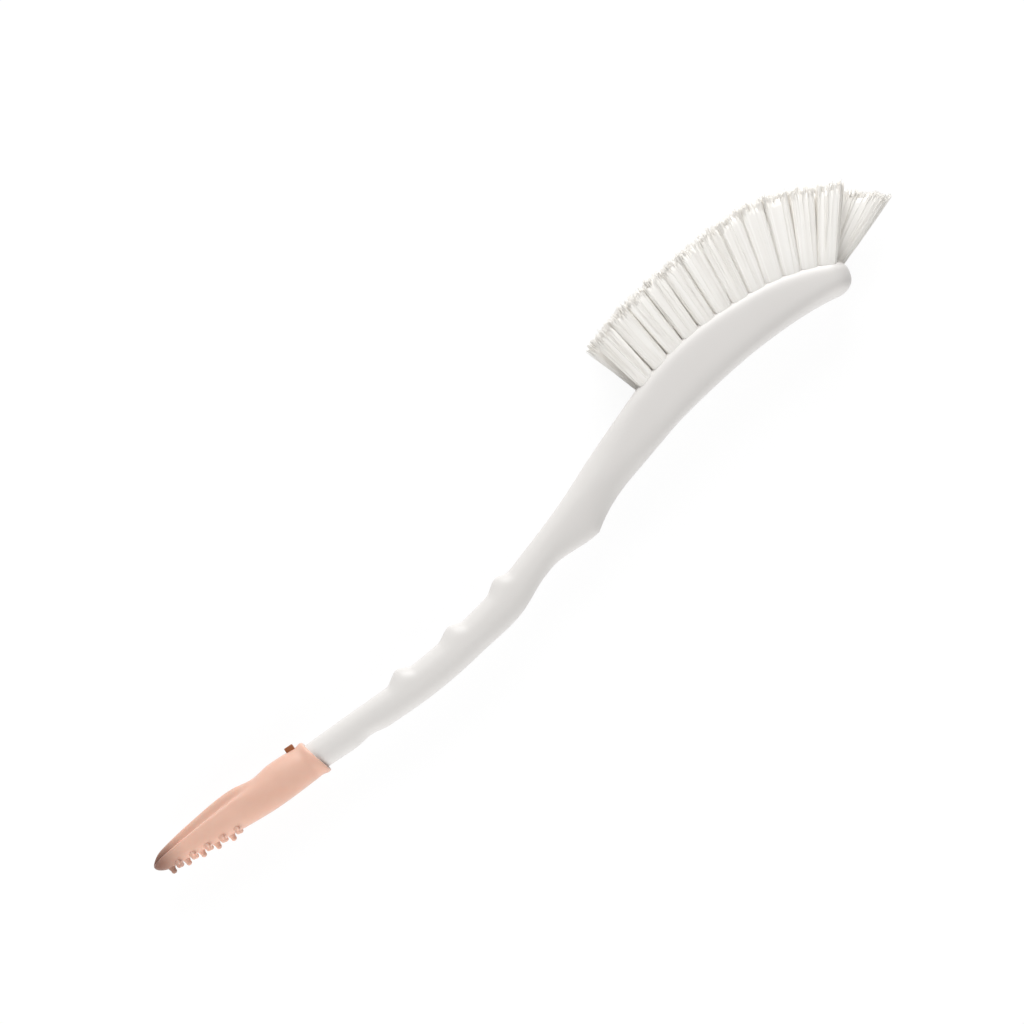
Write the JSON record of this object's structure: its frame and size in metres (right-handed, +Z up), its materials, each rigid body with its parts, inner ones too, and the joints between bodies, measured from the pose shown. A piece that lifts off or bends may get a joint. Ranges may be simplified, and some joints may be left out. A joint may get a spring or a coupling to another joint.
{
  "type": "bottle brush",
  "caption": "S-curved moulded bottle brush with finger crests, a curved head of bristle tufts and a soft finned tip, pushed over the handle's tail, for cleaning teats.",
  "frame": {"origin": "under the middle of the brush's box, on the surface on which it lies on one cheek of its head", "axes": "+X along the tail from the soft tip towards the head, +Y towards the bristles' free ends, +Z up across the brush, which lies on its side"},
  "size_m": [0.293, 0.0708, 0.0167],
  "materials": {
    "handle_polypropylene": "satin moulded white polypropylene",
    "tip_elastomer": "soft peach thermoplastic elastomer with a satin skin",
    "bristle_nylon": "off-white extruded nylon filament",
    "anchor_brass": "plain cut brass strip"
  },
  "bodies": {
    "brush": {"handle": "handle_polypropylene", "bristle_row_left": "bristle_nylon", "bristle_row_middle": "bristle_nylon", "bristle_row_right": "bristle_nylon", "anchor_left_01": "anchor_brass", "anchor_left_02": "anchor_brass", "anchor_left_03": "anchor_brass", "anchor_left_04": "anchor_brass", "anchor_left_05": "anchor_brass", "anchor_left_06": "anchor_brass", "anchor_left_07": "anchor_brass", "anchor_left_08": "anchor_brass", "anchor_left_09": "anchor_brass", "anchor_left_10": "anchor_brass", "anchor_left_11": "anchor_brass", "anchor_left_12": "anchor_brass", "anchor_middle_01": "anchor_brass", "anchor_middle_02": "anchor_brass", "anchor_middle_03": "anchor_brass", "anchor_middle_04": "anchor_brass", "anchor_middle_05": "anchor_brass", "anchor_middle_06": "anchor_brass", "anchor_middle_07": "anchor_brass", "anchor_middle_08": "anchor_brass", "anchor_middle_09": "anchor_brass", "anchor_middle_10": "anchor_brass", "anchor_middle_11": "anchor_brass", "anchor_middle_12": "anchor_brass", "anchor_right_01": "anchor_brass", "anchor_right_02": "anchor_brass", "anchor_right_03": "anchor_brass", "anchor_right_04": "anchor_brass", "anchor_right_05": "anchor_brass", "anchor_right_06": "anchor_brass", "anchor_right_07": "anchor_brass", "anchor_right_08": "anchor_brass", "anchor_right_09": "anchor_brass", "anchor_right_10": "anchor_brass", "anchor_right_11": "anchor_brass", "anchor_right_12": "anchor_brass"},
    "tip": {"teat_tip": "tip_elastomer"}
  },
  "joints": [
    {"name": "tip_pull", "type": "slide", "parent": "brush", "child": "tip", "axis": [-1, 0, 0], "range_m": [0, 0.02]}
  ]
}
